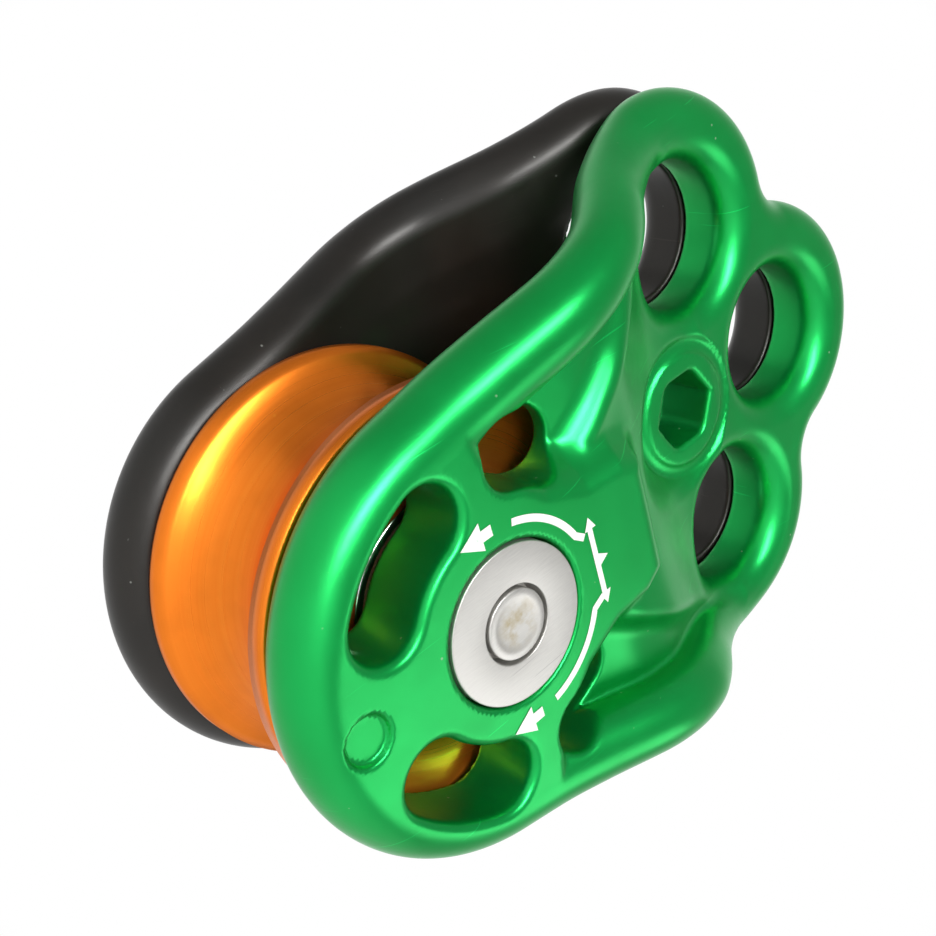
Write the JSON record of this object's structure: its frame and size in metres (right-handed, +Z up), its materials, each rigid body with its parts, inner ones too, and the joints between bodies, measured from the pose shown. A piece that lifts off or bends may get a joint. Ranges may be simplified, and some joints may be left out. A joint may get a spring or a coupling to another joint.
{
  "type": "rope pulley",
  "caption": "Rope pulley with two swinging forged cheek plates, a grooved sheave on sealed ball bearings, three connector eyes and a hexagonal hole between them.",
  "frame": {"origin": "centre of the middle connector eye, on the plane where the two cheek plates meet", "axes": "+Z up along the load line from the axle to the middle eye, +Y along the axle from the front cheek to the rear cheek, +X to the right seen from the front"},
  "size_m": [0.0768, 0.046, 0.11],
  "materials": {
    "green_anodised": "satin green anodised, hot forged and tumbled",
    "black_anodised": "satin black anodised, hot forged and tumbled",
    "orange_anodised": "satin orange anodised over fine turning marks",
    "axle_steel": "brushed stainless steel",
    "bearing_steel": "ground and polished bearing steel",
    "seal_rubber": "matt black moulded rubber",
    "cage_polymer": "moulded brown polyamide",
    "washer_polymer": "natural acetal"
  },
  "bodies": {
    "rear_cheek": {"rear_cheek_plate": "black_anodised"},
    "front_cheek": {"front_cheek_plate": "green_anodised"},
    "axle": {"axle_pin": "axle_steel", "front_axle_head": "axle_steel", "rear_axle_head": "axle_steel", "front_thrust_washer": "washer_polymer", "rear_thrust_washer": "washer_polymer", "front_bearing_inner_race": "bearing_steel", "rear_bearing_inner_race": "bearing_steel", "bearing_race_spacer": "bearing_steel"},
    "sheave": {"sheave": "orange_anodised", "front_bearing_outer_race": "bearing_steel", "rear_bearing_outer_race": "bearing_steel", "front_bearing_outside_seal": "seal_rubber", "front_bearing_inside_seal": "seal_rubber", "rear_bearing_outside_seal": "seal_rubber", "rear_bearing_inside_seal": "seal_rubber"},
    "front_cage": {"front_bearing_cage": "cage_polymer", "front_bearing_ball_1": "bearing_steel", "front_bearing_ball_2": "bearing_steel", "front_bearing_ball_3": "bearing_steel", "front_bearing_ball_4": "bearing_steel", "front_bearing_ball_5": "bearing_steel", "front_bearing_ball_6": "bearing_steel", "front_bearing_ball_7": "bearing_steel"},
    "rear_cage": {"rear_bearing_cage": "cage_polymer", "rear_bearing_ball_1": "bearing_steel", "rear_bearing_ball_2": "bearing_steel", "rear_bearing_ball_3": "bearing_steel", "rear_bearing_ball_4": "bearing_steel", "rear_bearing_ball_5": "bearing_steel", "rear_bearing_ball_6": "bearing_steel", "rear_bearing_ball_7": "bearing_steel"}
  },
  "joints": [
    {"name": "front_cheek_swing", "type": "hinge", "parent": "rear_cheek", "child": "front_cheek", "pos_m": [0, 0, -0.0652], "axis": [0, 1, 0], "continuous": true},
    {"name": "axle_turn", "type": "hinge", "parent": "rear_cheek", "child": "axle", "pos_m": [0, 0, -0.0652], "axis": [0, 1, 0], "continuous": true},
    {"name": "sheave_spin", "type": "hinge", "parent": "axle", "child": "sheave", "pos_m": [0, 0, -0.0652], "axis": [0, 1, 0], "continuous": true},
    {"name": "front_cage_spin", "type": "hinge", "parent": "axle", "child": "front_cage", "pos_m": [0, 0, -0.0652], "axis": [0, 1, 0], "continuous": true},
    {"name": "rear_cage_spin", "type": "hinge", "parent": "axle", "child": "rear_cage", "pos_m": [0, 0, -0.0652], "axis": [0, 1, 0], "continuous": true}
  ],
  "couplings": [
    {"joint": "front_cage_spin", "follows": "sheave_spin", "ratio": 0.6322},
    {"joint": "rear_cage_spin", "follows": "sheave_spin", "ratio": 0.6322}
  ]
}
